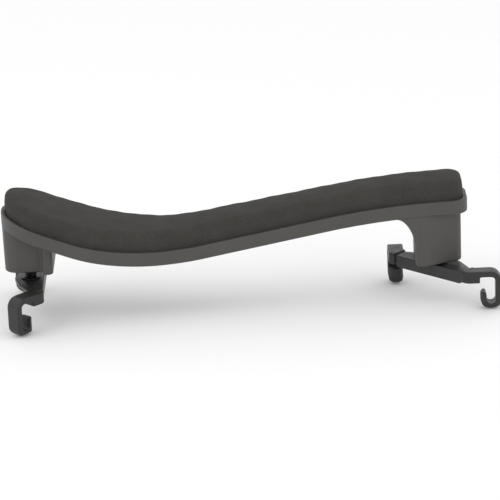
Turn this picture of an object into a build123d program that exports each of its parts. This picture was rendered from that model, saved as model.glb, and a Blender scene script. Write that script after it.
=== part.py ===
from build123d import *
import math
import os

# Violin shoulder rest: an S-curved bar with a foam pad on top, and a hollow
# tower at each end that holds a screw-in claw with two rubber-booted hooks.
# Millimetres. X runs along the bar, Y across it, Z up; the hooks stand on Z = 0.

# bar, seen from the side: the top of its rim
bar_length = 215.5
left_rim_height = 51.9    # at the left end
left_slope = 21.0         # degrees down from the left end
left_run = 30.0           # horizontal length of the straight left ramp
valley_radius = 119.0     # from the ramp down to the lowest point
rise_radius = 110.0       # from the lowest point up to the straight rise
rise_slope = 9.9
rise_end = 152.0          # distance from the left end where the crest begins
right_slope = 0.0
bar_thickness = 6.5
bar_edge_radius = 0.6

# bar, seen from above
left_half_width = 21.0
waist_half_width = 14.6
right_half_width = 12.5
wide_length = 40.0        # the left part keeps its full width this far
waist_start = 80.0
narrow_start = 155.0
left_end_flat = 1.0       # half of the flat left in the almost round end
left_corner_radius = left_half_width - left_end_flat
right_corner_radius = 7.5
wide_blend_radius = 70.0
waist_blend_radius = 90.0
narrow_blend_radius = 200.0

# tray and pad
lip_width = 1.8
tray_depth = 1.6
adhesive_thickness = 0.4
adhesive_inset = 0.2      # behind the pad's own edge
pad_gap = 0.4
pad_height = 9.6          # above the rim
pad_corner_radius = 8.5
pad_edge_radius = 2.8

# underside of the bar
side_wall = 2.2
tray_floor = 2.2
rib_thickness = 1.6
rib_spacing = 21.0
rib_margin = 3.0          # from the towers to the hollow underside

# towers
tower_wall = 2.2
tower_base = 3.0
left_tower_draft = 0.8    # degrees, wider upwards
right_tower_draft = 0.4
tower_edge_radius = 0.9   # round the foot
left_stud_at = 11.9       # from the left end of the bar
right_stud_at = 201.3
left_tower_outer = 11.2   # from the stud axis to each side of the tower
left_tower_inner = 11.4
left_tower_half_width = 11.0
flange_half_width = 15.8  # flanges at the inner side of the left tower
flange_length = 4.6
left_tower_corner = 6.0
right_tower_outer = 11.2
right_tower_inner = 10.3
right_tower_half_width = 11.8
right_nose_half_width = 4.6
right_tower_flat = 5.5
underside_sweep = 8.5     # horizontal length of the curve into the right tower
underside_drop = 15.5
sweep_overlap = 3.0       # how far the sweep's solid reaches up into the bar
sweep_inset = 0.4         # behind the bar's outline

# screw, insert and boss
screw_radius = 3.0
running_clearance = 0.05
thread_relief = 0.3       # around the screw above the insert
thread_chamfer = 0.6
insert_wall = 0.7
insert_radius = screw_radius + insert_wall
insert_length = 8.0
knurl_depth = 0.35
band_share = 0.4          # of the insert's length, for each knurled band
boss_wall = 2.2
boss_height = 13.0
screw_travel = 12.0
least_engagement = 6.0
collar_radius = 4.4
collar_thickness = 0.6
neck_radius = 2.5
head_radius = 4.2
head_thickness = 1.2
axial_play = 0.05
closed_gap = 1.0          # between tower and fork, screwed all the way in
left_screwed_out = 4.8    # at rest
right_screwed_out = 0.0
left_turn = 90.0          # of the claw's own X axis from the bar's
right_turn = -45.0

# claw: x along the fork, y outwards, measured from the stud axis
fork_thickness = 1.4
fork_top = 17.8           # above the foot of the hooks
hub_radius = 7.4
hub_half_length = 7.0
hub_inner = 6.2           # straight inner edge of the fork
skirt_drop = 5.8
skirt_end_drop = 4.2      # inside the boots
skirt_half_length = 20.8
skirt_slant = 1.6         # length over which its lower edge rises
skirt_tail = 3.2          # on into the boot
neck_at = 22.5            # where the arm is narrowest
strip_width = 5.8
hook_at = 29.5            # middle of each hook
hook_offset = 3.6
hook_splay = 45.0         # degrees
hook_depth = 9.9
hook_gap = 4.3
hook_top = 18.5
hook_bend = 3.6
tip_height = 8.5
boot_wall = 0.7
boot_tail = 5.6           # how far the boot's strip reaches back from the hook's middle
boot_start = 20.6         # where the boot's sleeve begins along the arm
strip_tail = 6.6
strip_lap = 0.4           # strip over arm, where they meet
boot_lap = 0.5
lip_flat = 0.3            # of each hook's rounded lip, seen from above
shoulder_depth = 2.2      # the arm's outer edge behind the hub's

far = 200.0               # longer and taller than anything here


def polar(length, degrees):
    """A step of a given length in the XZ or XY plane."""
    angle = math.radians(degrees)
    return length * math.cos(angle), length * math.sin(angle)


def rounded(corners):
    """A closed face from corners (x, y, radius), with straight sides and tangent arcs."""
    edges = []
    ends = []
    for i, (x, y, radius) in enumerate(corners):
        before = Vector(*corners[i - 1][:2]) - Vector(x, y)
        after = Vector(*corners[(i + 1) % len(corners)][:2]) - Vector(x, y)
        half_angle = math.radians(before.get_angle(after)) / 2
        reach = radius / math.tan(half_angle)
        start = Vector(x, y) + before.normalized() * reach
        end = Vector(x, y) + after.normalized() * reach
        if radius > 0:
            inward = (before.normalized() + after.normalized()).normalized()
            middle = Vector(x, y) + inward * (radius / math.sin(half_angle) - radius)
            edges.append(ThreePointArc(start, middle, end))
        ends.append((start, end))
    for (_, leave), (arrive, _) in zip(ends, ends[1:] + ends[:1]):
        if (arrive - leave).length > 1e-6:
            edges.append(Line(leave, arrive))
    face = Face(Wire.combine(edges, tol=1e-4)[0])
    return face if face.normal_at().Z > 0 else -face


def across(face, middle, width):
    """A side view in the XZ plane made solid, width wide in Y about a middle."""
    side_view = Plane(origin=(0, middle, 0), x_dir=(1, 0, 0), z_dir=(0, -1, 0))
    return extrude(side_view * face, width / 2, both=True)


def rim_line(offset):
    """The bar's S-curve in the XZ plane, as sketch edges, raised by offset."""
    start = Vector(0, left_rim_height + offset)
    drop = left_run * math.tan(math.radians(left_slope))
    ramp = Line(start, start + Vector(left_run, -drop))
    valley = JernArc(ramp @ 1, ramp % 1, valley_radius, left_slope)
    rise = JernArc(valley @ 1, valley % 1, rise_radius, rise_slope)
    rest = rise_end - (rise @ 1).X
    slope = Line(rise @ 1, rise @ 1 + Vector(rest, rest * math.tan(math.radians(rise_slope))))
    sines = math.sin(math.radians(rise_slope)) - math.sin(math.radians(right_slope))
    crest_radius = (bar_length - rise_end) / sines
    crest = JernArc(slope @ 1, slope % 1, crest_radius, right_slope - rise_slope)
    return [ramp, valley, rise, slope, crest]


def rim_height(distance):
    """The height of the rim over a place along the bar."""
    upright = Edge.make_line((distance, -far), (distance, far))
    for edge in rim_line(0):
        crossing = edge.intersect(upright)
        if crossing is not None and crossing.vertices():
            return crossing.vertices()[0].Y
    raise ValueError("not on the bar")


def layer(low, high):
    """The solid between two raised copies of the rim's S-curve, far wider than the bar."""
    under = rim_line(low)
    over = rim_line(high)
    sides = [Line(under[0] @ 0, over[0] @ 0), Line(under[-1] @ 1, over[-1] @ 1)]
    return across(Face(Wire.combine(under + over + sides, tol=1e-4)[0]), 0, far)


def plan(inset, left_radius, right_radius):
    """A prism of the bar's outline from above, inset by a distance."""
    near = [
        (inset, left_half_width - inset, left_radius),
        (wide_length, left_half_width - inset, wide_blend_radius),
        (waist_start, waist_half_width - inset, waist_blend_radius),
        (narrow_start, right_half_width - inset, narrow_blend_radius),
        (bar_length - inset, right_half_width - inset, right_radius),
    ]
    away = [(x, -y, radius) for x, y, radius in reversed(near)]
    return extrude(rounded(near + away), far, both=True)


def rounded_outlines(bar, radius, lower=True):
    """Round a bar-shaped solid's upper outline and, unless told otherwise, its lower one."""
    near = 0.01
    outlines = []
    for edge in bar.edges():
        start, end = edge @ 0, edge @ 1
        same_x = abs(start.X - end.X) < near
        standing = same_x and abs(start.Y - end.Y) < near
        inside = min(abs(start.X - face_x) for face_x in end_faces(bar)) > near
        seam = same_x and inside
        under = (edge @ 0.5).Z < rim_height((edge @ 0.5).X) - near
        if not standing and not seam and (lower or not under):
            outlines.append(edge)
    return fillet(outlines, radius)


def end_faces(solid):
    """The lowest and highest X of a solid."""
    box = solid.bounding_box()
    return box.min.X, box.max.X


def left_tower_face():
    """Left tower from above: a rounded box with a flange down each inner corner."""
    outer = left_stud_at - left_tower_outer
    inner = left_stud_at + left_tower_inner
    valley = inner - flange_length
    side = [
        (outer, left_tower_half_width, left_tower_corner),
        (valley, left_tower_half_width, 2.0),
        (valley, flange_half_width, 1.6),
        (inner, flange_half_width, 2.2),
    ]
    away = [(x, -y, radius) for x, y, radius in reversed(side)]
    return rounded(side + away)


def right_tower_face():
    """Right tower from above: flat towards the bar's middle and narrowing to a round nose."""
    inner = right_stud_at - right_tower_inner
    outer = right_stud_at + right_tower_outer
    side = [
        (inner, right_tower_half_width, 2.0),
        (inner + right_tower_flat, right_tower_half_width, 7.0),
        (outer, right_nose_half_width, 4.2),
    ]
    away = [(x, -y, radius) for x, y, radius in reversed(side)]
    return rounded(side + away)


def tower_foot(screwed_out):
    """The height of a tower's flat bottom over the foot of the hooks."""
    return fork_top + closed_gap + screwed_out


def towers(face, foot, stud_at, draft):
    """A tower's outside, its hollow and its boss, as three solids up to the tray."""
    reach = rim_height(stud_at) + left_half_width / 2 - foot
    shell = extrude(Pos(0, 0, foot) * face, reach, taper=-draft)
    shell = fillet(shell.faces().sort_by(Axis.Z)[0].edges(), tower_edge_radius)
    hollow_face = offset(face, -tower_wall)
    hollow = extrude(Pos(0, 0, foot + tower_base) * hollow_face, reach, taper=-draft)
    boss_radius = insert_radius + boss_wall
    boss = Pos(stud_at, 0, foot) * Cylinder(boss_radius, boss_height, align=(Align.CENTER, Align.CENTER, Align.MIN))
    return shell, hollow, boss


def screw_hole(foot, stud_at):
    """The insert's pocket and the screw's way through the boss above it."""
    low = (Align.CENTER, Align.CENTER, Align.MIN)
    pocket = Pos(stud_at, 0, foot) * Cylinder(insert_radius, insert_length, align=low)
    way = Pos(stud_at, 0, foot) * Cylinder(screw_radius + thread_relief, boss_height, align=low)
    return pocket + way


def underside_curve():
    """The concave sweep from the bar's underside down the right tower's inner face."""
    inner = right_stud_at - right_tower_inner
    start = inner - underside_sweep
    top = Vector(start, rim_height(start) - bar_thickness)
    bottom = Vector(inner, top.Y - underside_drop)
    slope = Vector(1, math.tan(math.radians(right_slope)))
    out = top + slope * (underside_sweep / 2)
    curve = Bezier(top, out, bottom + Vector(0, underside_drop / 2), bottom)
    corner = Vector(inner + tower_wall, bottom.Y)
    roof = Vector(inner + tower_wall, top.Y + sweep_overlap)
    back = Vector(start, top.Y + sweep_overlap)
    sides = [Line(bottom, corner), Line(corner, roof), Line(roof, back), Line(back, top)]
    return across(Face(Wire.combine([curve] + sides, tol=1e-4)[0]), 0, far)


def underside_recess():
    """The hollow under the bar between the towers, less its cross ribs."""
    start = left_stud_at + left_tower_inner + rib_margin
    end = right_stud_at - right_tower_inner - underside_sweep - rib_margin
    recess = layer(-bar_thickness - 1, -tray_depth - tray_floor)
    recess = recess & plan(side_wall, left_corner_radius - side_wall, right_corner_radius - side_wall)
    window = Pos((start + end) / 2, 0, far / 2) * Box(end - start, far, far)
    count = round((end - start) / rib_spacing)
    pitch = (end - start) / count
    ribs = [Pos(start + i * pitch, 0, far / 2) * Box(rib_thickness, far, far) for i in range(1, count)]
    spine = Pos((start + end) / 2, 0, far / 2) * Box(end - start, rib_thickness, far)
    return (recess & window) - ribs - spine


def make_frame():
    """The moulded bar with its tray, hollow towers and screw bosses, in one piece."""
    outline = plan(0, left_corner_radius, right_corner_radius)
    bar = rounded_outlines(layer(-bar_thickness, 0) & outline, bar_edge_radius)
    tray = layer(-tray_depth, far / 4)
    tray = tray & plan(lip_width, left_corner_radius - lip_width, right_corner_radius - lip_width)
    below_tray = layer(-far / 4, -tray_depth)
    solid = bar + (underside_curve() & plan(sweep_inset, left_corner_radius, right_corner_radius))
    hollows = []
    for face, stud_at, out, draft in tower_list():
        foot = tower_foot(out)
        shell, hollow, boss = towers(face, foot, stud_at, draft)
        solid += shell & below_tray & outline
        hollows.append((hollow - boss) & layer(-far / 4, 0))
        hollows.append(screw_hole(foot, stud_at))
    return solid - tray - underside_recess() - hollows


def tower_list():
    """Each tower: its face, its stud's place, how far its claw is screwed out, and its draft."""
    return [
        (left_tower_face(), left_stud_at, left_screwed_out, left_tower_draft),
        (right_tower_face(), right_stud_at, right_screwed_out, right_tower_draft),
    ]


def make_pad():
    """The foam pad that fills the tray and stands above it."""
    inset = lip_width + pad_gap
    body = layer(-tray_depth + adhesive_thickness, pad_height)
    body = body & plan(inset, left_corner_radius - inset, pad_corner_radius - inset)
    return rounded_outlines(body, pad_edge_radius, lower=False)


def make_adhesive():
    """The adhesive sheet between the tray and the pad."""
    inset = lip_width + pad_gap + adhesive_inset
    sheet = layer(-tray_depth, -tray_depth + adhesive_thickness)
    return sheet & plan(inset, left_corner_radius - inset, right_corner_radius - lip_width)


def make_insert(foot):
    """A brass insert: a threaded sleeve with two knurled bands and a groove between."""
    low = (Align.CENTER, Align.CENTER, Align.MIN)
    band = insert_length * band_share
    sleeve = Cylinder(insert_radius - knurl_depth, insert_length, align=low)
    sleeve += Cylinder(insert_radius, band, align=low)
    sleeve += Pos(0, 0, insert_length - band) * Cylinder(insert_radius, band, align=low)
    bore = Cylinder(screw_radius + running_clearance, insert_length, align=low)
    return Pos(0, 0, foot) * (sleeve - bore)


def make_stud():
    """The screw: thread, collar above the fork, neck through it and riveted head below."""
    low = (Align.CENTER, Align.CENTER, Align.MIN)
    length = closed_gap + screw_travel + least_engagement
    thread = Pos(0, 0, fork_top + axial_play) * Cylinder(screw_radius, length, align=low)
    thread = chamfer(thread.faces().sort_by(Axis.Z)[-1].edges(), thread_chamfer)
    collar = Pos(0, 0, fork_top + axial_play) * Cylinder(collar_radius, collar_thickness, align=low)
    under = fork_top - fork_thickness - axial_play
    neck = Pos(0, 0, under) * Cylinder(neck_radius, fork_thickness + 2 * axial_play, align=low)
    head = Pos(0, 0, under - head_thickness) * Cylinder(head_radius, head_thickness, align=low)
    head = fillet(head.faces().sort_by(Axis.Z)[0].edges(), head_thickness * 0.6)
    return thread + collar + neck + head


def hook_solid(thickness, width, tail, top, tip):
    """A J-shaped hook strip: x outwards from the middle of the gap, y across, z up."""
    half = thickness / 2
    wall = (hook_depth - (hook_depth - hook_gap) / 2) / 2
    outer = wall + half
    inner = wall - half
    centre_low = (hook_depth - hook_gap) / 4
    low_out = centre_low - half
    low_in = centre_low + half
    centre_top = hook_top - (hook_depth - hook_gap) / 4
    nearly = 0.01
    corners = [
        (-tail, centre_top + half, 0),
        (outer, centre_top + half, hook_bend + half),
        (outer, low_out, outer - nearly),
        (-outer, low_out, outer - nearly),
        (-outer, tip, half * 0.98),
        (-inner, tip, half * 0.98),
        (-inner, low_in, inner - nearly),
        (inner, low_in, inner - nearly),
        (inner, centre_top - half, hook_bend - half),
        (-tail, centre_top - half, 0),
    ]
    tongue = [
        (width / 2, 0, width / 2 - nearly),
        (width / 2, far, 0),
        (-width / 2, far, 0),
        (-width / 2, 0, width / 2 - nearly),
    ]
    facing = Plane(origin=(0, 0, low_out), x_dir=(0, 1, 0), z_dir=(1, 0, 0))
    hook = across(rounded(corners), 0, width) & extrude(facing * rounded(tongue), far, both=True)
    lip_round = width / 2 - lip_flat
    lip = [
        (-outer, -width / 2, lip_round),
        (far, -width / 2, 0),
        (far, width / 2, 0),
        (-outer, width / 2, lip_round),
    ]
    below_tip = Pos(0, 0, tip - far / 2) * Box(far, far, far)
    return hook - (below_tip - extrude(rounded(lip), far, both=True))


def hook_place(side):
    """Where a hook's middle stands on the claw, and which way it opens. side is 1 or -1."""
    return Pos(side * hook_at, hook_offset, 0) * Rot(0, 0, 90 - side * hook_splay)


def arm_face(side):
    """One arm of the fork from above, from the hub to the start of the hook's strip."""
    half = strip_width / 2
    reach = strip_tail - strip_lap
    back = Vector(side * hook_at, hook_offset) - Vector(*outward(side)) * reach
    across = Vector(-outward(side)[1], outward(side)[0]) * (half * side)
    inner_end = back - across
    outer_end = back + across
    corners = [
        (0, -hub_inner, 0),
        (side * neck_at, -hub_inner, 3.0),
        (inner_end.X, inner_end.Y, 0),
        (outer_end.X, outer_end.Y, 0),
        (side * (neck_at - 1), strip_width - hub_inner, 4.0),
        (side * (hub_half_length + 3), hub_radius - shoulder_depth, 5.0),
        (0, hub_radius, 0),
    ]
    return rounded(corners)


def outward(side):
    """The direction in which a hook reaches out, seen from above."""
    return polar(1, 90 - side * hook_splay)


def make_fork():
    """The stamped fork: hub, arms, a stiffening skirt and the strips inside the boots."""
    under = fork_top - fork_thickness
    blade = arm_face(1) + arm_face(-1)
    blade += Pos(0, 0) * Circle(hub_radius)
    blade -= Circle(neck_radius + running_clearance)
    inside = Pos(0, far / 2 - hub_inner) * Rectangle(far, far)
    fork = extrude(Pos(0, 0, under) * (blade & inside), fork_thickness)
    end = skirt_half_length + skirt_tail
    skirt = [
        (end, fork_top, 0),
        (end, fork_top - skirt_end_drop, 0),
        (skirt_half_length, fork_top - skirt_end_drop, 1.0),
        (skirt_half_length - skirt_slant, fork_top - skirt_drop, skirt_slant),
    ]
    skirt_corners = skirt + [(-x, z, radius) for x, z, radius in reversed(skirt)]
    fork += across(rounded(skirt_corners), fork_thickness / 2 - hub_inner, fork_thickness)
    for side in (1, -1):
        strip = hook_solid(fork_thickness, strip_width, strip_tail, hook_top, tip_height - boot_wall)
        fork += hook_place(side) * strip
    return fork


def make_boot(side, fork):
    """The rubber boot that sleeves one arm's end and its hook."""
    thickness = fork_thickness + 2 * boot_wall
    width = strip_width + 2 * boot_wall
    hook = hook_place(side) * hook_solid(thickness, width, boot_tail, hook_top, tip_height)
    edge = hub_inner + boot_wall
    tail = Vector(side * hook_at, hook_offset) - Vector(*outward(side)) * (boot_tail - boot_lap)
    across_tail = Vector(-outward(side)[1], outward(side)[0]) * (width / 2 * side)
    near_end = tail - across_tail
    away_end = tail + across_tail
    corners = [
        (side * boot_start, -edge, 0),
        (side * (abs(near_end.X) - near_end.Y - edge), -edge, 2.5),
        (near_end.X, near_end.Y, 0),
        (away_end.X, away_end.Y, 0),
        (side * (neck_at - 0.8), strip_width - hub_inner + boot_wall + 0.4, 1.5),
        (side * boot_start, strip_width - hub_inner + boot_wall + 0.9, 0),
    ]
    under = fork_top - skirt_end_drop - boot_wall
    sleeve = extrude(Pos(0, 0, under) * rounded(corners), hook_top - under)
    return sleeve + hook - fork


def claw(turn, stud_at):
    """Where a claw stands: its own axes turned about the stud."""
    return Pos(stud_at, 0, 0) * Rot(0, 0, turn)


def build():
    """Every node of the shoulder rest, by name, before it is centred."""
    nodes = {
        "frame": make_frame(),
        "foam_pad": make_pad(),
        "pad_adhesive": make_adhesive(),
    }
    fork = make_fork()
    boots = {1: make_boot(1, fork), -1: make_boot(-1, fork)}
    sides = [
        ("left", left_stud_at, left_turn, left_screwed_out, {"back": 1, "front": -1}),
        ("right", right_stud_at, right_turn, right_screwed_out, {"back": -1, "front": 1}),
    ]
    for name, stud_at, turn, out, hooks in sides:
        place = claw(turn, stud_at)
        nodes[f"{name}_threaded_insert"] = Pos(stud_at, 0, 0) * make_insert(tower_foot(out))
        nodes[f"{name}_stud"] = place * make_stud()
        nodes[f"{name}_fork"] = place * fork
        for end, side in hooks.items():
            nodes[f"{name}_{end}_boot"] = place * boots[side]
    return nodes


def main():
    """Centre the whole rest over its own footprint and write one file per node."""
    os.makedirs("parts", exist_ok=True)
    nodes = build()
    boxes = [solid.bounding_box() for solid in nodes.values()]
    low = [min(getattr(box.min, axis) for box in boxes) for axis in "XYZ"]
    high = [max(getattr(box.max, axis) for box in boxes) for axis in "XYZ"]
    shift = Pos(-(low[0] + high[0]) / 2, -(low[1] + high[1]) / 2, -low[2])
    for name, solid in nodes.items():
        export_step(shift * solid, f"parts/{name}.step")
    print("size", [round(b - a, 3) for a, b in zip(low, high)])
    print("shift", shift.position)
    for name, stud_at in (("left", left_stud_at), ("right", right_stud_at)):
        print(name, "stud axis at x", stud_at + shift.position.X, "y", shift.position.Y)


main()
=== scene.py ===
import math
import bmesh
import bpy
import numpy as np
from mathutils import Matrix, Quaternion, Vector


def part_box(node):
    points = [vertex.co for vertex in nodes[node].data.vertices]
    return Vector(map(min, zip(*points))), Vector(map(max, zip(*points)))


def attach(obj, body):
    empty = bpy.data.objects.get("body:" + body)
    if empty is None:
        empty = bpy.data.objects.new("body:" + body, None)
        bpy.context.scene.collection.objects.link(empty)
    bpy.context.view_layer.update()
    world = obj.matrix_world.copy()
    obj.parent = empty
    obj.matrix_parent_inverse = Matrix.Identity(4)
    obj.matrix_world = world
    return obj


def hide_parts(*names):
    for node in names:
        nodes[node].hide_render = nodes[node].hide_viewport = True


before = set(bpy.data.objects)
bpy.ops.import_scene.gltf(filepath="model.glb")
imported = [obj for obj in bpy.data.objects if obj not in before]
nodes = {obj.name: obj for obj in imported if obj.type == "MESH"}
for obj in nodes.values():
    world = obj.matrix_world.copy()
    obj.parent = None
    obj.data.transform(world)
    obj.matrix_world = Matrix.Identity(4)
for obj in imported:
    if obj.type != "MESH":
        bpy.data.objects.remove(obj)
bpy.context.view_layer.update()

scene = bpy.context.scene
print("frame loaded:", len(nodes), "nodes")


def linkObject(name, mesh):
    obj = bpy.data.objects.new(name, mesh)
    scene.collection.objects.link(obj)
    return obj


def smoothFaces(mesh, angle=None):
    # smooth everywhere, or only across edges flatter than the angle
    mesh.shade_smooth()
    if angle is not None:
        mesh.set_sharp_from_angle(angle=math.radians(angle))


def addModifier(obj, name, kind, **values):
    modifier = obj.modifiers.new(name, kind)
    for key, value in values.items():
        setattr(modifier, key, value)
    return modifier


def bakeModifiers(obj):
    # turn the modifiers' result into plain mesh
    graph = bpy.context.evaluated_depsgraph_get()
    baked = bpy.data.meshes.new_from_object(obj.evaluated_get(graph), depsgraph=graph)
    obj.modifiers.clear()
    old = obj.data
    obj.data = baked
    baked.name = obj.name
    if old.users == 0:
        bpy.data.meshes.remove(old)
    return obj


mergeDistance = 2e-6


def mergedCopy(nodeName):
    # a CAD node's surface as one joined bmesh
    bm = bmesh.new()
    bm.from_mesh(nodes[nodeName].data)
    bmesh.ops.remove_doubles(bm, verts=bm.verts, dist=mergeDistance)
    return bm


def meshFrom(bm, name):
    mesh = bpy.data.meshes.new(name)
    bm.to_mesh(mesh)
    bm.free()
    return mesh


def startMaterial(name):
    material = bpy.data.materials.new(name)
    material.use_nodes = True
    tree = material.node_tree
    shader = tree.nodes["Principled BSDF"]
    return material, tree, shader


def addNode(tree, kind, values=None, **settings):
    node = tree.nodes.new(kind)
    for key, value in settings.items():
        setattr(node, key, value)
    for key, value in (values or {}).items():
        node.inputs[key].default_value = value
    return node


def objectNoise(tree, size, detail=3.0, roughness=0.5, stretch=(1, 1, 1)):
    # noise in the piece's own space; size is the width of one blotch in metres
    place = addNode(tree, "ShaderNodeTexCoord")
    mapping = addNode(tree, "ShaderNodeMapping", {"Scale": stretch})
    noise = addNode(tree, "ShaderNodeTexNoise", {"Scale": 1 / size, "Detail": detail, "Roughness": roughness})
    tree.links.new(place.outputs["Object"], mapping.inputs["Vector"])
    tree.links.new(mapping.outputs["Vector"], noise.inputs["Vector"])
    return noise.outputs["Fac"]


def objectCells(tree, size, randomness=1.0):
    place = addNode(tree, "ShaderNodeTexCoord")
    cells = addNode(tree, "ShaderNodeTexVoronoi", {"Scale": 1 / size, "Randomness": randomness})
    tree.links.new(place.outputs["Object"], cells.inputs["Vector"])
    return cells.outputs["Distance"]


def ramp(tree, source, low, high, start=0.3, end=0.7):
    node = addNode(tree, "ShaderNodeValToRGB")
    node.color_ramp.elements[0].position = start
    node.color_ramp.elements[1].position = end
    node.color_ramp.elements[0].color = (*low, 1)
    node.color_ramp.elements[1].color = (*high, 1)
    tree.links.new(source, node.inputs["Fac"])
    return node.outputs["Color"]


def spread(tree, source, low, high):
    values = {"From Min": 0.3, "From Max": 0.7, "To Min": low, "To Max": high}
    node = addNode(tree, "ShaderNodeMapRange", values)
    tree.links.new(source, node.inputs["Value"])
    return node.outputs["Result"]


def setRoughness(tree, shader, source, look):
    roughness = spread(tree, source, look["roughnessLow"], look["roughnessHigh"])
    tree.links.new(roughness, shader.inputs["Roughness"])


def setColour(tree, shader, source, look, darker, lighter):
    # the look's colour, wandering between a darker and a lighter share of itself
    base = ramp(tree, source, shaded(look["colour"], darker), shaded(look["colour"], lighter))
    tree.links.new(base, shader.inputs["Base Color"])


def addBumps(tree, shader, layers):
    # layers of (height, strength, depth in metres), coarse first
    normal = None
    for height, strength, depth in layers:
        bump = addNode(tree, "ShaderNodeBump", {"Strength": strength, "Distance": depth})
        tree.links.new(height, bump.inputs["Height"])
        if normal is not None:
            tree.links.new(normal, bump.inputs["Normal"])
        normal = bump.outputs["Normal"]
    tree.links.new(normal, shader.inputs["Normal"])


def shaded(colour, factor):
    return tuple(channel * factor for channel in colour)


mouldedPlasticLook = {
    "colour": (0.060, 0.058, 0.053),
    "variation": 0.07,      # lighter and darker, either way
    "blotchSize": 0.018,
    "grainSize": 0.00035,   # spark-eroded mould texture
    "grainDepth": 0.00003,
    "roughnessLow": 0.42,
    "roughnessHigh": 0.54,
}

foamLook = {
    "colour": (0.050, 0.048, 0.044),
    "variation": 0.10,
    "blotchSize": 0.010,
    "cellSize": 0.00055,
    "cellDepth": 0.00012,
    "fuzz": 0.02,
}

rubberLook = {
    "colour": (0.0120, 0.0118, 0.0112),
    "grainSize": 0.0005,
    "grainDepth": 0.00004,
    "roughnessLow": 0.34,
    "roughnessHigh": 0.52,
}

powderCoatLook = {
    "colour": (0.0180, 0.0178, 0.0172),
    "peelSize": 0.0009,
    "peelDepth": 0.00004,
    "roughnessLow": 0.36,
    "roughnessHigh": 0.48,
}

steelLook = {"colour": (0.07, 0.07, 0.072), "roughnessLow": 0.30, "roughnessHigh": 0.46}    # near black: painted shade, the shadow under the tower put into the steel's colour
brassLook = {"colour": (0.70, 0.50, 0.21), "roughnessLow": 0.24, "roughnessHigh": 0.40}
adhesiveLook = {"colour": (0.36, 0.34, 0.29), "roughnessLow": 0.30, "roughnessHigh": 0.50}


def makeMouldedPlastic(look):
    material, tree, shader = startMaterial("mouldedPlastic")
    blotches = objectNoise(tree, look["blotchSize"], detail=4)
    setColour(tree, shader, blotches, look, 1 - look["variation"], 1 + look["variation"])
    grain = objectNoise(tree, look["grainSize"], detail=2)
    setRoughness(tree, shader, grain, look)
    flow = objectNoise(tree, look["blotchSize"] / 3, detail=2)
    addBumps(tree, shader, [(flow, 0.25, look["grainDepth"] * 3), (grain, 0.45, look["grainDepth"])])
    shader.inputs["Specular IOR Level"].default_value = 0.42
    return material


def makeFoam(look):
    material, tree, shader = startMaterial("closedCellFoam")
    blotches = objectNoise(tree, look["blotchSize"], detail=5, roughness=0.6)
    low = shaded(look["colour"], 1 - look["variation"])
    high = shaded(look["colour"], 1 + look["variation"])
    cells = objectCells(tree, look["cellSize"])
    base = ramp(tree, blotches, low, high)
    speck = ramp(tree, cells, (1.06, 1.06, 1.06), (0.86, 0.86, 0.86), 0.15, 0.75)
    mix = addNode(tree, "ShaderNodeMix", data_type="RGBA", blend_type="MULTIPLY")
    mix.inputs["Factor"].default_value = 1.0
    tree.links.new(base, mix.inputs["A"])
    tree.links.new(speck, mix.inputs["B"])
    tree.links.new(mix.outputs["Result"], shader.inputs["Base Color"])
    fine = objectNoise(tree, look["cellSize"] * 0.6, detail=3)
    tree.links.new(spread(tree, fine, 0.80, 0.96), shader.inputs["Roughness"])
    depth = look["cellDepth"]
    addBumps(tree, shader, [(blotches, 0.25, 0.0004), (cells, 0.55, depth), (fine, 0.4, depth / 2)])
    shader.inputs["Sheen Weight"].default_value = look["fuzz"]
    shader.inputs["Sheen Roughness"].default_value = 0.6
    shader.inputs["Specular IOR Level"].default_value = 0.08
    return material


def makeRubber(look):
    material, tree, shader = startMaterial("bootRubber")
    grain = objectNoise(tree, look["grainSize"], detail=3)
    blotches = objectNoise(tree, 0.004, detail=3)
    setColour(tree, shader, blotches, look, 0.8, 1.35)
    setRoughness(tree, shader, blotches, look)
    addBumps(tree, shader, [(blotches, 0.3, 0.00015), (grain, 0.5, look["grainDepth"])])
    shader.inputs["Specular IOR Level"].default_value = 0.5
    return material


def makePowderCoat(look):
    material, tree, shader = startMaterial("powderCoat")
    peel = objectNoise(tree, look["peelSize"], detail=2)
    blotches = objectNoise(tree, 0.006, detail=3)
    setColour(tree, shader, blotches, look, 0.85, 1.2)
    setRoughness(tree, shader, peel, look)
    addBumps(tree, shader, [(peel, 0.6, look["peelDepth"])])
    shader.inputs["Specular IOR Level"].default_value = 0.5
    return material


def makeMetal(name, look, stretch):
    material, tree, shader = startMaterial(name)
    turned = objectNoise(tree, 0.0004, detail=3, stretch=stretch)
    stain = objectNoise(tree, 0.003, detail=3)
    setColour(tree, shader, stain, look, 0.82, 1.05)
    setRoughness(tree, shader, turned, look)
    addBumps(tree, shader, [(turned, 0.35, 0.00001)])
    shader.inputs["Metallic"].default_value = 1.0
    return material


def makeAdhesive(look):
    material, tree, shader = startMaterial("adhesiveFilm")
    streaks = objectNoise(tree, 0.005, detail=4, stretch=(0.3, 1, 1))
    setColour(tree, shader, streaks, look, 0.85, 1.1)
    setRoughness(tree, shader, streaks, look)
    addBumps(tree, shader, [(streaks, 0.3, 0.00005)])
    return material


mouldedPlastic = makeMouldedPlastic(mouldedPlasticLook)
closedCellFoam = makeFoam(foamLook)
bootRubber = makeRubber(rubberLook)
powderCoat = makePowderCoat(powderCoatLook)
turnedSteel = makeMetal("turnedSteel", steelLook, (1, 1, 14))
knurledBrass = makeMetal("knurledBrass", brassLook, (1, 1, 10))
adhesiveFilm = makeAdhesive(adhesiveLook)
print("materials made")


def dress(nodeName, material):
    obj = nodes[nodeName]
    obj.data.materials.clear()
    obj.data.materials.append(material)


dress("frame", mouldedPlastic)
dress("pad_adhesive", adhesiveFilm)


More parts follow.
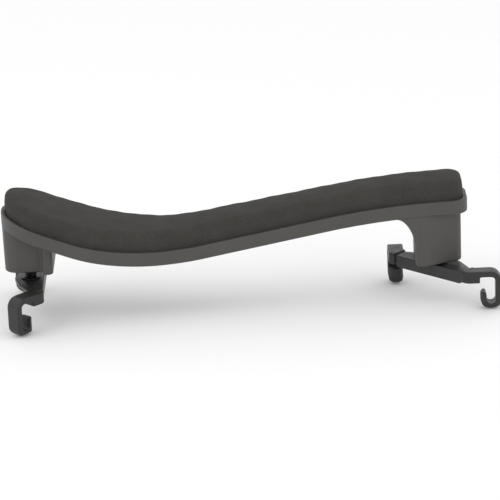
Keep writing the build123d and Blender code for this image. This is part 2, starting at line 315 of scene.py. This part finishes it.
foamPad = {
    "edgeRadius": 0.0030,
    "edgeSteps": 7,
    "crown": 0.0007,        # rise of the middle over the edges
    "wallBulge": 0.00025,
    "outlinePoints": 300,   # round half of the outline
    "acrossSteps": 18,      # across the top and the bottom
    "wallFoot": 0.0022,     # height of the straight foot of the side
    "wallSteps": 6,
    "crownFade": 0.6,       # share of the widest half width where the crown is whole
    "waver": 0.00012,       # of the cut foam's surface
    "waverStart": 0.004,    # height above the underside
    "waverRise": 0.006,     # further height until it is whole
    "waverAlong": 310,      # radians per metre, as are the next two
    "waverAcross": 420,
    "waverFine": 780,
}


def padOutline():
    # half of the pad's outline from above, end to end, and its underside's height along X
    bm = mergedCopy("foam_pad")
    bm.normal_update()
    rim = [e for e in bm.edges if sum(face.normal.z < -0.7 for face in e.link_faces) == 1]
    base = np.array([v.co for v in {v for e in rim for v in e.verts}])
    bm.free()
    order = np.argsort(base[:, 0])
    along, heights = base[order, 0], base[order, 2]
    half = base[base[:, 1] > 1e-5]
    half = half[np.argsort(half[:, 0], kind="stable")]
    ends = [(half[0, 0], 0.0)], [(half[-1, 0], 0.0)]
    line = np.vstack([ends[0], half[:, :2], ends[1]])
    return line, along, heights


def resampled(line, count):
    steps = np.hypot(*np.diff(line, axis=0).T)
    keep = np.concatenate([[True], steps > 1e-7])
    line = line[keep]
    run = np.concatenate([[0], np.cumsum(np.hypot(*np.diff(line, axis=0).T))])
    at = np.linspace(0, run[-1], count)
    return np.column_stack([np.interp(at, run, line[:, 0]), np.interp(at, run, line[:, 1])])


def outwardNormals(line):
    # of the half outline, with the ends square to X
    tangent = np.gradient(line, axis=0)
    normal = np.column_stack([-tangent[:, 1], tangent[:, 0]])
    normal /= np.linalg.norm(normal, axis=1)[:, None]
    normal[0] = (-1, 0)
    normal[-1] = (1, 0)
    return normal


def makeFoamPad(settings):
    line, stations, heights = padOutline()
    half = resampled(line, settings["outlinePoints"])
    normal = outwardNormals(half)
    count = len(half)

    def under(x):
        return np.interp(x, stations, heights)

    thickness = padThickness(under)
    radius = settings["edgeRadius"]
    # profile of the side: inset from the outline, height above the underside
    wallFoot = settings["wallFoot"]
    profile = [(0.0, 0.0), (0.0, wallFoot / 2), (0.0, wallFoot)]
    wallTop = thickness - radius
    for i in range(1, settings["wallSteps"]):
        share = i / settings["wallSteps"]
        bulge = settings["wallBulge"] * math.sin(math.pi * share)
        profile.append((-bulge, wallFoot + (wallTop - wallFoot) * share))
    for i in range(settings["edgeSteps"] + 1):
        turn = math.pi / 2 * i / settings["edgeSteps"]
        profile.append((radius * (1 - math.cos(turn)), wallTop + radius * math.sin(turn)))
    bm = bmesh.new()
    rings = []
    for inset, height in profile:
        ring = {}
        for i, (x, y) in enumerate(half - normal * inset):
            z = under(x) + height
            ring[i, 1] = bm.verts.new((x, y, z))
            ring[i, -1] = ring[i, 1] if i in (0, count - 1) else bm.verts.new((x, -y, z))
        rings.append(ring)
    for low, high in zip(rings, rings[1:]):
        for i in range(count - 1):
            for side in (1, -1):
                quad = [low[i, side], low[i + 1, side], high[i + 1, side], high[i, side]]
                bm.faces.new(quad if side < 0 else quad[::-1])

    def cap(ring, upwards, crown):
        steps = settings["acrossSteps"]
        widest = max(ring[i, 1].co.y for i in range(count))
        rows = []
        for i in range(count):
            a, b = ring[i, 1], ring[i, -1]
            if a is b:
                rows.append([a] * (steps + 1))
                continue
            row = [a]
            for k in range(1, steps):
                share = k / steps
                place = a.co.lerp(b.co, share)
                reach = a.co.y
                whole = min(1.0, reach / (settings["crownFade"] * widest))
                place.z += crown * (1 - (place.y / reach) ** 2) * whole
                row.append(bm.verts.new(place))
            rows.append(row + [b])
        for first, second in zip(rows, rows[1:]):
            for k in range(steps):
                corners = [first[k], second[k], second[k + 1], first[k + 1]]
                corners = [v for n, v in enumerate(corners) if v not in corners[:n]]
                bm.faces.new(corners if not upwards else corners[::-1])

    cap(rings[-1], True, settings["crown"])
    cap(rings[0], False, 0.0)
    bmesh.ops.recalc_face_normals(bm, faces=bm.faces)
    mesh = meshFrom(bm, "foamPad")
    obj = linkObject("foamPad", mesh)
    # the cut surface wavers a little above the tray
    places = np.empty(len(mesh.vertices) * 3)
    mesh.vertices.foreach_get("co", places)
    places = places.reshape(-1, 3)
    height = places[:, 2] - under(places[:, 0])
    along, across = places[:, 0], places[:, 1]
    wave = np.sin(along * settings["waverAlong"] + 1.3) * np.sin(across * settings["waverAcross"] + 0.4)
    wave += 0.5 * np.sin(along * settings["waverFine"])
    share = np.clip((height - settings["waverStart"]) / settings["waverRise"], 0, 1)
    places[:, 2] += settings["waver"] * wave * share
    mesh.vertices.foreach_set("co", places.ravel())
    mesh.update()
    mesh.materials.append(closedCellFoam)
    smoothFaces(mesh)
    return obj


def padThickness(under):
    # the CAD pad's greatest height above its underside
    places = np.array([v.co for v in nodes["foam_pad"].data.vertices])
    return float(np.max(places[:, 2] - under(places[:, 0])))


foamPadPiece = makeFoamPad(foamPad)
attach(foamPadPiece, "rest_body")
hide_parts("foam_pad")
print("foam pad made")


fork = {"edgeRound": 0.00022, "edgeSteps": 2}


def makeFork(side, settings):
    bm = mergedCopy(f"{side}_fork")
    bmesh.ops.dissolve_limit(bm, angle_limit=math.radians(1.5), verts=bm.verts, edges=bm.edges)
    obj = linkObject(f"{side}Fork", meshFrom(bm, f"{side}Fork"))
    addModifier(obj, "roundedEdges", "BEVEL", width=settings["edgeRound"], segments=settings["edgeSteps"],
                limit_method="ANGLE", angle_limit=math.radians(35), harden_normals=False)
    bakeModifiers(obj)
    obj.data.materials.clear()
    obj.data.materials.append(powderCoat)
    smoothFaces(obj.data, 30)
    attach(obj, f"{side}_claw")
    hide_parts(f"{side}_fork")
    return obj


for side in ("left", "right"):
    makeFork(side, fork)
print("forks made")


boot = {
    "voxel": 0.00028,
    "smoothing": 14,        # rounds the moulded rubber's edges
    "sleeveStart": 0.0206,  # from the stud's axis along the arm
    "sleeveInset": 0.00005, # keeps the cut inside the boot
}

studAt = {side: (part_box(f"{side}_stud")[0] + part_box(f"{side}_stud")[1]) / 2 for side in ("left", "right")}
clawTurn = {"left": 90.0, "right": -45.0}
bootSide = {("left", "back"): 1, ("left", "front"): -1, ("right", "back"): -1, ("right", "front"): 1}


def makeBoot(side, end, settings):
    # the boot's skin, closed over the strip inside it
    name = f"{side}{end.title()}Boot"
    turn = math.radians(clawTurn[side])
    axis = Vector((math.cos(turn), math.sin(turn), 0)) * bootSide[side, end]
    start = Vector((studAt[side].x, studAt[side].y, 0))
    start += axis * (settings["sleeveStart"] + settings["sleeveInset"])
    bm = mergedCopy(f"{side}_fork")
    whole = bm.verts[:] + bm.edges[:] + bm.faces[:]
    bmesh.ops.bisect_plane(bm, geom=whole, plane_co=start, plane_no=axis, clear_inner=True)
    bmesh.ops.holes_fill(bm, edges=[e for e in bm.edges if e.is_boundary])
    bm.from_mesh(nodes[f"{side}_{end}_boot"].data)
    bmesh.ops.remove_doubles(bm, verts=bm.verts, dist=mergeDistance)
    obj = linkObject(name, meshFrom(bm, name))
    addModifier(obj, "oneSkin", "REMESH", mode="VOXEL", voxel_size=settings["voxel"], use_smooth_shade=True)
    addModifier(obj, "softEdges", "SMOOTH", factor=0.5, iterations=settings["smoothing"])
    bakeModifiers(obj)
    obj.data.materials.clear()
    obj.data.materials.append(bootRubber)
    smoothFaces(obj.data)
    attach(obj, f"{side}_claw")
    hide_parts(f"{side}_{end}_boot")
    return obj


for side, end in bootSide:
    made = makeBoot(side, end, boot)
    print("boot", side, end, len(made.data.polygons), "faces")


stud = {
    "threadRadius": 0.0030,
    "pitch": 0.0010,
    "threadDepth": 0.00055,
    "segments": 56,
    "rowsPerPitch": 8,
    "collarRadius": 0.0044,
    "collarHeight": 0.0006,
    "neckRadius": 0.0025,
    "headRadius": 0.0042,
    "headHeight": 0.0012,
    "chamfer": 0.0006,
}

insert = {
    "outerRadius": 0.0037,
    "sleeveRadius": 0.00335,
    "boreRadius": 0.00305,
    "bandShare": 0.4,
    "ribs": 40,
    "ribWidth": 0.00028,
    "ribTilt": 24.0,        # degrees; the two bands lean opposite ways
}


def newTree(name, inputs):
    tree = bpy.data.node_groups.new(name, "GeometryNodeTree")
    for label, kind, value in inputs:
        socket = tree.interface.new_socket(name=label, in_out="INPUT", socket_type=kind)
        if value is not None:
            socket.default_value = value
    tree.interface.new_socket(name="Geometry", in_out="OUTPUT", socket_type="NodeSocketGeometry")
    start = tree.nodes.new("NodeGroupInput")
    end = tree.nodes.new("NodeGroupOutput")
    return tree, start, end


def wire(tree, kind, operation=None, *sources, **settings):
    # add a node and feed its sockets in order from outputs or plain values
    node = tree.nodes.new(kind)
    if operation is not None:
        node.operation = operation
    for key, value in settings.items():
        setattr(node, key, value)
    for socket, source in zip(node.inputs, sources):
        if source is None:
            continue
        if isinstance(source, bpy.types.NodeSocket):
            tree.links.new(source, socket)
        else:
            socket.default_value = source
    return node


def mathOn(tree, operation, *sources):
    return wire(tree, "ShaderNodeMath", operation, *sources).outputs[0]


def makeThreadTree():
    tree, start, end = newTree("screwThread", [
        ("Radius", "NodeSocketFloat", 0.003), ("Pitch", "NodeSocketFloat", 0.001),
        ("Depth", "NodeSocketFloat", 0.0005),
        ("Length", "NodeSocketFloat", 0.02), ("Segments", "NodeSocketInt", 48),
        ("Rows", "NodeSocketInt", 100),
        ("Foot", "NodeSocketVector", (0, 0, 0)), ("Material", "NodeSocketMaterial", None),
    ])
    get = start.outputs
    columns = mathOn(tree, "ADD", get["Segments"], 1.0)
    sheet = wire(tree, "GeometryNodeMeshGrid", None, 2 * math.pi, get["Length"], columns, get["Rows"])
    position = wire(tree, "GeometryNodeInputPosition").outputs[0]
    place = wire(tree, "ShaderNodeSeparateXYZ", None, position).outputs
    turn = place[0]
    height = mathOn(tree, "ADD", place[1], mathOn(tree, "MULTIPLY", get["Length"], 0.5))
    turns = mathOn(tree, "DIVIDE", height, get["Pitch"])
    phase = mathOn(tree, "FRACT", mathOn(tree, "SUBTRACT", turns, mathOn(tree, "DIVIDE", turn, 2 * math.pi)))
    flank = mathOn(tree, "MULTIPLY", mathOn(tree, "ABSOLUTE", mathOn(tree, "SUBTRACT", phase, 0.5)), 2.0)
    groove = wire(tree, "ShaderNodeMapRange", None, flank, 0.15, 0.85, 0.0, 1.0).outputs[0]
    radius = mathOn(tree, "SUBTRACT", get["Radius"], mathOn(tree, "MULTIPLY", groove, get["Depth"]))
    x = mathOn(tree, "MULTIPLY", radius, mathOn(tree, "COSINE", turn))
    y = mathOn(tree, "MULTIPLY", radius, mathOn(tree, "SINE", turn))
    wrapped = wire(tree, "ShaderNodeCombineXYZ", None, x, y, height).outputs[0]
    moved = wire(tree, "ShaderNodeVectorMath", "ADD", wrapped, get["Foot"]).outputs[0]
    shaped = wire(tree, "GeometryNodeSetPosition", None, sheet.outputs["Mesh"], None, moved)
    closed = tree.nodes.new("GeometryNodeMergeByDistance")
    closed.inputs["Distance"].default_value = mergeDistance
    tree.links.new(shaped.outputs[0], closed.inputs["Geometry"])
    real = wire(tree, "GeometryNodeRealizeInstances", None, closed.outputs[0])
    coat = tree.nodes.new("GeometryNodeSetMaterial")
    tree.links.new(real.outputs[0], coat.inputs["Geometry"])
    tree.links.new(get["Material"], coat.inputs["Material"])
    tree.links.new(coat.outputs[0], end.inputs[0])
    return tree


def makeKnurlTree():
    tree, start, end = newTree("knurlBand", [
        ("Ribs", "NodeSocketInt", 40), ("Radius", "NodeSocketFloat", 0.0035),
        ("RibSize", "NodeSocketVector", (0.0003, 0.0003, 0.003)), ("Tilt", "NodeSocketFloat", 0.4),
        ("Centre", "NodeSocketVector", (0, 0, 0)), ("Material", "NodeSocketMaterial", None),
    ])
    get = start.outputs
    circle = tree.nodes.new("GeometryNodeMeshCircle")
    tree.links.new(get["Ribs"], circle.inputs["Vertices"])
    tree.links.new(get["Radius"], circle.inputs["Radius"])
    rib = tree.nodes.new("GeometryNodeMeshCube")
    tree.links.new(get["RibSize"], rib.inputs["Size"])
    position = wire(tree, "GeometryNodeInputPosition").outputs[0]
    place = wire(tree, "ShaderNodeSeparateXYZ", None, position).outputs
    around = mathOn(tree, "ARCTAN2", place[1], place[0])
    facing = wire(tree, "ShaderNodeCombineXYZ", None, get["Tilt"], 0.0, around).outputs[0]
    spin = tree.nodes.new("FunctionNodeEulerToRotation")
    tree.links.new(facing, spin.inputs[0])
    copies = tree.nodes.new("GeometryNodeInstanceOnPoints")
    tree.links.new(circle.outputs["Mesh"], copies.inputs["Points"])
    tree.links.new(rib.outputs["Mesh"], copies.inputs["Instance"])
    tree.links.new(spin.outputs[0], copies.inputs["Rotation"])
    real = wire(tree, "GeometryNodeRealizeInstances", None, copies.outputs[0])
    moved = wire(tree, "GeometryNodeSetPosition", None, real.outputs[0], None, None, get["Centre"])
    coat = tree.nodes.new("GeometryNodeSetMaterial")
    tree.links.new(moved.outputs[0], coat.inputs["Geometry"])
    tree.links.new(get["Material"], coat.inputs["Material"])
    tree.links.new(coat.outputs[0], end.inputs[0])
    return tree


def growTree(name, tree, values):
    # run a node tree on an empty mesh and return its plain result
    obj = linkObject(name, bpy.data.meshes.new(name))
    modifier = obj.modifiers.new("grow", "NODES")
    modifier.node_group = tree
    for item in tree.interface.items_tree:
        if item.in_out == "INPUT" and item.name in values:
            modifier[item.identifier] = values[item.name]
    return bakeModifiers(obj)


def turnedMesh(name, profile, centre, segments=56):
    # a lathe: profile of (radius, z) from the axis out and back to it
    bm = bmesh.new()
    rings = []
    for radius, z in profile:
        if radius < 1e-7:
            rings.append([bm.verts.new((centre.x, centre.y, z))])
            continue
        ring = []
        for i in range(segments):
            turn = 2 * math.pi * i / segments
            x, y = centre.x + radius * math.cos(turn), centre.y + radius * math.sin(turn)
            ring.append(bm.verts.new((x, y, z)))
        rings.append(ring)
    for low, high in zip(rings, rings[1:]):
        for i in range(segments):
            j = (i + 1) % segments
            corners = [low[i % len(low)], low[j % len(low)], high[j % len(high)], high[i % len(high)]]
            corners = [v for n, v in enumerate(corners) if v not in corners[:n]]
            if len(corners) > 2:
                bm.faces.new(corners)
    bmesh.ops.recalc_face_normals(bm, faces=bm.faces)
    return linkObject(name, meshFrom(bm, name))


def joined(name, parts, material):
    # one mesh of several closed parts, with the thread's open ends capped
    bm = bmesh.new()
    for part in parts:
        bm.from_mesh(part.data)
        bpy.data.objects.remove(part)
    bmesh.ops.holes_fill(bm, edges=[e for e in bm.edges if e.is_boundary])
    bmesh.ops.recalc_face_normals(bm, faces=bm.faces)
    mesh = meshFrom(bm, name)
    mesh.materials.append(material)
    for face in mesh.polygons:
        face.material_index = 0
    return linkObject(name, mesh)


def makeStud(side, settings, tree):
    low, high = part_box(f"{side}_stud")
    centre = Vector((studAt[side].x, studAt[side].y, 0))
    head = low.z + settings["headHeight"]
    collarTop = high.z - threadLength(side)
    length = high.z - collarTop - settings["chamfer"]
    rows = int(length / settings["pitch"] * settings["rowsPerPitch"]) + 1
    core = settings["threadRadius"] - settings["threadDepth"]
    thread = growTree(f"{side}Thread", tree, {
        "Radius": settings["threadRadius"], "Pitch": settings["pitch"], "Depth": settings["threadDepth"],
        "Length": length, "Segments": settings["segments"], "Rows": rows,
        "Foot": (centre.x, centre.y, collarTop), "Material": turnedSteel,
    })
    soft = 0.00035          # rounding of the head's and the collar's edges
    headRadius, collarRadius = settings["headRadius"], settings["collarRadius"]
    collarFoot = collarTop - settings["collarHeight"]
    body = turnedMesh(f"{side}StudBody", [
        (0, low.z), (headRadius - 2 * soft, low.z), (headRadius - soft * 0.6, low.z + soft * 0.7),
        (headRadius, low.z + 2 * soft), (headRadius, head), (settings["neckRadius"], head),
        (settings["neckRadius"], collarFoot), (collarRadius - soft / 3, collarFoot),
        (collarRadius, collarFoot + soft / 3), (collarRadius, collarTop - soft / 3),
        (collarRadius - soft / 3, collarTop), (core, collarTop), (core, high.z - settings["chamfer"]),
        (settings["threadRadius"] - 0.0001, high.z - settings["chamfer"]),
        (settings["threadRadius"] - settings["chamfer"], high.z), (0, high.z),
    ], centre)
    obj = joined(f"{side}Stud", [body, thread], turnedSteel)
    smoothFaces(obj.data, 40)
    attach(obj, f"{side}_screw")
    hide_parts(f"{side}_stud")
    return obj


def threadLength(side):
    # the stud above its collar, from the CAD stud's widest ring
    places = np.array([v.co for v in nodes[f"{side}_stud"].data.vertices])
    away = np.hypot(places[:, 0] - studAt[side].x, places[:, 1] - studAt[side].y)
    return float(places[:, 2].max() - places[away > stud["collarRadius"] - 0.00002, 2].max())


def makeInsert(side, settings, tree):
    low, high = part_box(f"{side}_threaded_insert")
    centre = Vector((studAt[side].x, studAt[side].y, 0))
    length = high.z - low.z
    soft = 0.00015
    sleeve = turnedMesh(f"{side}Sleeve", [
        (settings["boreRadius"] + soft, low.z), (settings["sleeveRadius"], low.z),
        (settings["sleeveRadius"], high.z), (settings["boreRadius"] + soft, high.z),
        (settings["boreRadius"], high.z - soft),
        (settings["boreRadius"], low.z + soft), (settings["boreRadius"] + soft, low.z),
    ], centre)
    bm = bmesh.new()
    bm.from_mesh(sleeve.data)
    bmesh.ops.remove_doubles(bm, verts=bm.verts, dist=1e-7)
    bmesh.ops.recalc_face_normals(bm, faces=bm.faces)
    bm.to_mesh(sleeve.data)
    bm.free()
    band = length * settings["bandShare"]
    depth = settings["outerRadius"] - settings["sleeveRadius"]
    tilt = math.radians(settings["ribTilt"])
    parts = [sleeve]
    for lean, middle in ((1, low.z + band / 2), (-1, high.z - band / 2)):
        parts.append(growTree(f"{side}Knurl", tree, {
            "Ribs": settings["ribs"], "Radius": settings["sleeveRadius"] + depth * 0.4,
            "RibSize": (depth, settings["ribWidth"], band * 0.92), "Tilt": lean * tilt,
            "Centre": (centre.x, centre.y, middle), "Material": knurledBrass,
        }))
    obj = joined(f"{side}Insert", parts, knurledBrass)
    smoothFaces(obj.data, 35)
    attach(obj, "rest_body")
    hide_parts(f"{side}_threaded_insert")
    return obj


threadTree = makeThreadTree()
knurlTree = makeKnurlTree()
for side in ("left", "right"):
    makeStud(side, stud, threadTree)
    makeInsert(side, insert, knurlTree)
print("studs and inserts made")


studio = {
    "floorShade": 0.92,
    "floorReach": 6.0,
    "floorLevel": -0.0002,  # just under the hooks
    "worldLight": 1.0,
    "keyPlace": (-0.9, -0.6, 1.1),
    "keyPower": 3.0,
    "lightSize": 0.9,
    "fillPlace": (0.9, -1.1, 0.6),
    "fillTarget": (0, 0, 0.03),
    "fillPower": 2.5,
}


def addLight(name, place, target, power, size):
    data = bpy.data.lights.new(name, "AREA")
    data.energy = power
    data.size = size
    light = bpy.data.objects.new(name, data)
    scene.collection.objects.link(light)
    light.location = place
    light.rotation_mode = "QUATERNION"
    light.rotation_quaternion = (Vector(target) - Vector(place)).to_track_quat("-Z", "Y")
    return light


def makeStudio(settings):
    mesh = bpy.data.meshes.new("studioFloor")
    reach, level = settings["floorReach"], settings["floorLevel"]
    corners = [(-reach, -reach, level), (reach, -reach, level), (reach, reach, level), (-reach, reach, level)]
    mesh.from_pydata(corners, [], [(0, 1, 2, 3)])
    floor = linkObject("studioFloor", mesh)
    material, _, shader = startMaterial("palePaper")
    shade = settings["floorShade"]
    shader.inputs["Base Color"].default_value = (shade, shade, shade, 1)
    shader.inputs["Roughness"].default_value = 0.9
    mesh.materials.append(material)
    world = bpy.data.worlds.new("studioWorld")
    world.use_nodes = True
    background = world.node_tree.nodes["Background"]
    background.inputs["Color"].default_value = (1, 1, 1, 1)
    background.inputs["Strength"].default_value = settings["worldLight"]
    scene.world = world
    size = settings["lightSize"]
    addLight("keyLight", settings["keyPlace"], (0, 0, 0), settings["keyPower"], size)
    addLight("fillLight", settings["fillPlace"], settings["fillTarget"], settings["fillPower"], size)


makeStudio(studio)
scene.view_settings.view_transform = "Standard"


camera = {
    "elevation": 18.5,
    "roll": -2.4,           # degrees about the line of sight
    "distance": 1.5,
    "seenWidth": 0.2326,    # metres across the frame, at the target
    "target": (-0.0004, 0.0, 0.0266),
}


def makeCamera(settings):
    data = bpy.data.cameras.new("camera")
    obj = bpy.data.objects.new("camera", data)
    scene.collection.objects.link(obj)
    lift = math.radians(settings["elevation"])
    back = Vector((0, -math.cos(lift), math.sin(lift)))
    obj.location = Vector(settings["target"]) + back * settings["distance"]
    obj.rotation_mode = "QUATERNION"
    roll = Quaternion((0, 0, 1), math.radians(settings["roll"]))
    obj.rotation_quaternion = (-back).to_track_quat("-Z", "Y") @ roll
    data.sensor_width = 36
    data.lens = data.sensor_width * settings["distance"] / settings["seenWidth"]
    data.clip_start = 0.01
    data.clip_end = 30
    scene.camera = obj


makeCamera(camera)
print("studio and camera set")
